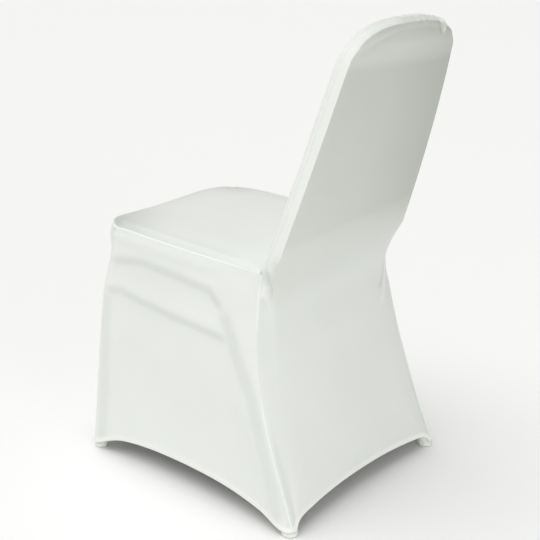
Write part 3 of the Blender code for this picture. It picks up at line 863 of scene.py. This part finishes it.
rollSizes = {  # half width and height, metres
    "backrestSeam": (0.0013, 0.0011),
    "cornerSeam": (0.0018, 0.0017),
    "seatSeam": (0.0030, 0.0021),
    "creaseSeam": (0.0013, 0.0011),
}

trimLook = {
    # lighter: the cloth is doubled over the seam allowance, with a painted highlight on the ridge
    "rollIvoryAndHighlight": (0.85, 0.875, 0.835),
    "step": 0.0015,  # metres between the rings of a roll
    "leastSteps": 4,
    "sides": 10,
    "merge": 0.000005,
    "rollSunk": 0.0004,
    "rollEnd": 0.25,  # its size at an end, and the rings over which it grows by a whole
    "endRings": 3,
    "pinchPitch": 0.0045,
    "pinch": 0.14,
    "stitchPitch": 0.0034,
    "stitchLong": 0.0012,
    "stitchThin": 0.00032,
    "stitchSides": (6, 4),
    "stitchUp": 0.0088,  # above the hem's edge
}


def alongLine(chain, step):
    # even stops along a line on the skin: how far along, where, which way is out and which across
    line = skinPoints[chain]
    done = np.concatenate([[0], np.cumsum(np.linalg.norm(np.diff(line, axis=0), axis=1))])
    stops = np.linspace(0, done[-1], max(trimLook["leastSteps"], round(done[-1] / step)) + 1)
    spots, ups = (
        np.stack([np.interp(stops, done, values[:, axis]) for axis in range(3)], axis=1)
        for values in (line, skinNormals[chain])
    )
    ahead = np.gradient(spots, axis=0)
    ahead /= np.linalg.norm(ahead, axis=1)[:, None]
    ups -= ahead * (ups * ahead).sum(axis=1)[:, None]
    ups /= np.linalg.norm(ups, axis=1)[:, None]
    return stops, spots, ups, np.cross(ahead, ups)


def finishPiece(shape, name, material):
    mesh = bpy.data.meshes.new(name)
    for face in shape.faces:
        face.smooth = True
    shape.to_mesh(mesh)
    shape.free()
    mesh.materials.append(material)
    made = addToScene(bpy.data.objects.new(name, mesh))
    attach(made, "root")
    return made


def seamRoll(name, chains):
    roll = bmesh.new()
    rollWide, rollHigh = rollSizes[name]
    sides = trimLook["sides"]
    for chain in chains:
        stops, spots, ups, across = alongLine(chain, trimLook["step"])
        last = len(stops) - 1
        shown = seamShown(spots, name)
        grid = bmesh.ops.create_grid(roll, x_segments=last, y_segments=sides, size=1, calc_uvs=True)
        for vert in grid["verts"]:
            n = round((vert.co.x + 1) / 2 * last)
            turn = (vert.co.y + 1) * math.pi
            pinch = 1 - trimLook["pinch"] * abs(math.sin(math.pi * stops[n] / trimLook["pinchPitch"]))
            end = min(1, trimLook["rollEnd"] + min(n, last - n) / trimLook["endRings"])
            size = pinch * end * shown[n]
            spot = spots[n] + across[n] * math.cos(turn) * rollWide * size
            vert.co = spot + ups[n] * (math.sin(turn) * rollHigh * size - trimLook["rollSunk"])
        bmesh.ops.remove_doubles(roll, verts=grid["verts"], dist=trimLook["merge"])
    bmesh.ops.holes_fill(roll, edges=[edge for edge in roll.edges if edge.is_boundary], sides=sides + 2)
    bmesh.ops.recalc_face_normals(roll, faces=roll.faces[:])
    return finishPiece(roll, name.replace("Seam", "_seam_roll"), rolledSpandex)


skinPoints, skinNormals = coords(fine), normalsOf(fine)
skinTree = BVHTree.FromPolygons([Vector(p) for p in skinPoints], [tuple(f.vertices) for f in fine.polygons])
# the rolls' lighter ivory is doubled cloth and painted highlight
rolledSpandex = makeCloth("rolledSpandex", {**clothLook, "ivory": trimLook["rollIvoryAndHighlight"]})
rolls = {name: seamRoll(name, chains) for name, chains in seams.items()}


def hemStitches(name, chains):
    thread = bmesh.new()
    size = Matrix.Diagonal((trimLook["stitchLong"], trimLook["stitchThin"], trimLook["stitchThin"], 1))
    around, along = trimLook["stitchSides"]
    for chain in chains:
        _, spots, ups, across = alongLine(chain, trimLook["stitchPitch"])
        for spot, up, side in zip(spots, ups, across):
            inward = side if side[2] > 0 else -side
            seat, out, _, _ = skinTree.find_nearest(Vector(spot + inward * trimLook["stitchUp"]))
            ahead = Vector(np.cross(inward, up)).normalized()
            ahead = (ahead - out * ahead.dot(out)).normalized()
            turned = Matrix((ahead, out.cross(ahead), out)).transposed().to_4x4()
            place = Matrix.Translation(seat) @ turned @ size
            bmesh.ops.create_uvsphere(thread, u_segments=around, v_segments=along, radius=1, matrix=place)
    return finishPiece(thread, name, sewingThread)


sewingThread = makeThread("ivoryThread", threadLook)
stitches = hemStitches("hem_stitches", hems)
print("seam rolls and stitches made")

# Foot pockets

pocketLook = {
    "ivory": (0.79, 0.81, 0.76),
    "levels": 2,
    "brim": 0.0001,  # faces this near the top are its brim
    "gathers": 9,
    "gatherShift": 1.7,
    "gatherDeep": 0.0005,
    "gatherPlace": (0.22, 0.25),  # height and reach, as shares of the pocket's height
    "thickness": 0.0008,
}


def cupOutside(node):
    # all but the brim and the inner wall
    shell = bmesh.new()
    shell.from_mesh(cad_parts[node].data)
    bmesh.ops.remove_doubles(shell, verts=shell.verts[:], dist=skinLook["merge"])
    brim = max(vert.co.z for vert in shell.verts) - pocketLook["brim"]
    flat = [face for face in shell.faces if all(vert.co.z > brim for vert in face.verts)]
    bmesh.ops.delete(shell, geom=flat, context="FACES")
    outer = [min(shell.faces, key=lambda face: face.calc_center_median().z)]
    for face in outer:
        outer.extend(besides(face, math.pi) - set(outer))
    return keepFaces(shell, set(outer))


def makePocket(node):
    shell = cupOutside(node)
    shape = bpy.data.meshes.new(node)
    shell.to_mesh(shape)
    shell.free()
    unwrapSkin(shape)
    cup = smoothed(shape, pocketLook["levels"])
    spots, outs = coords(cup), normalsOf(cup)
    middle = (spots.min(axis=0) + spots.max(axis=0)) / 2
    turn = np.arctan2(spots[:, 1] - middle[1], spots[:, 0] - middle[0])
    height = (spots[:, 2] - spots[:, 2].min()) / np.ptp(spots[:, 2])
    place, reach = pocketLook["gatherPlace"]
    wave = np.sin(turn * pocketLook["gathers"] + pocketLook["gatherShift"] * np.sin(2 * turn))
    wave *= bell(height - place, reach)
    spots += outs * (pocketLook["gatherDeep"] * (wave - 1))[:, None]
    cup.vertices.foreach_set("co", spots.ravel())
    name = node.replace("foot_pocket", "pocket")
    cup.name = name
    for face in cup.polygons:
        face.use_smooth = True
    for attribute in ("tint", "hemBand"):
        cup.attributes.new(attribute, "FLOAT", "POINT")
    cup.materials.clear()
    cup.materials.append(pocketSpandex)
    made = addToScene(bpy.data.objects.new(name, cup))
    wall = made.modifiers.new("thickness", "SOLIDIFY")
    wall.thickness, wall.offset = pocketLook["thickness"], -1
    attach(made, "root")
    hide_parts(node)
    return made


pocketSpandex = makeCloth("pocketSpandex", {**clothLook, "ivory": pocketLook["ivory"]})
for node in sorted(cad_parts):
    if node.startswith("foot_pocket"):
        makePocket(node)
print("pockets made")
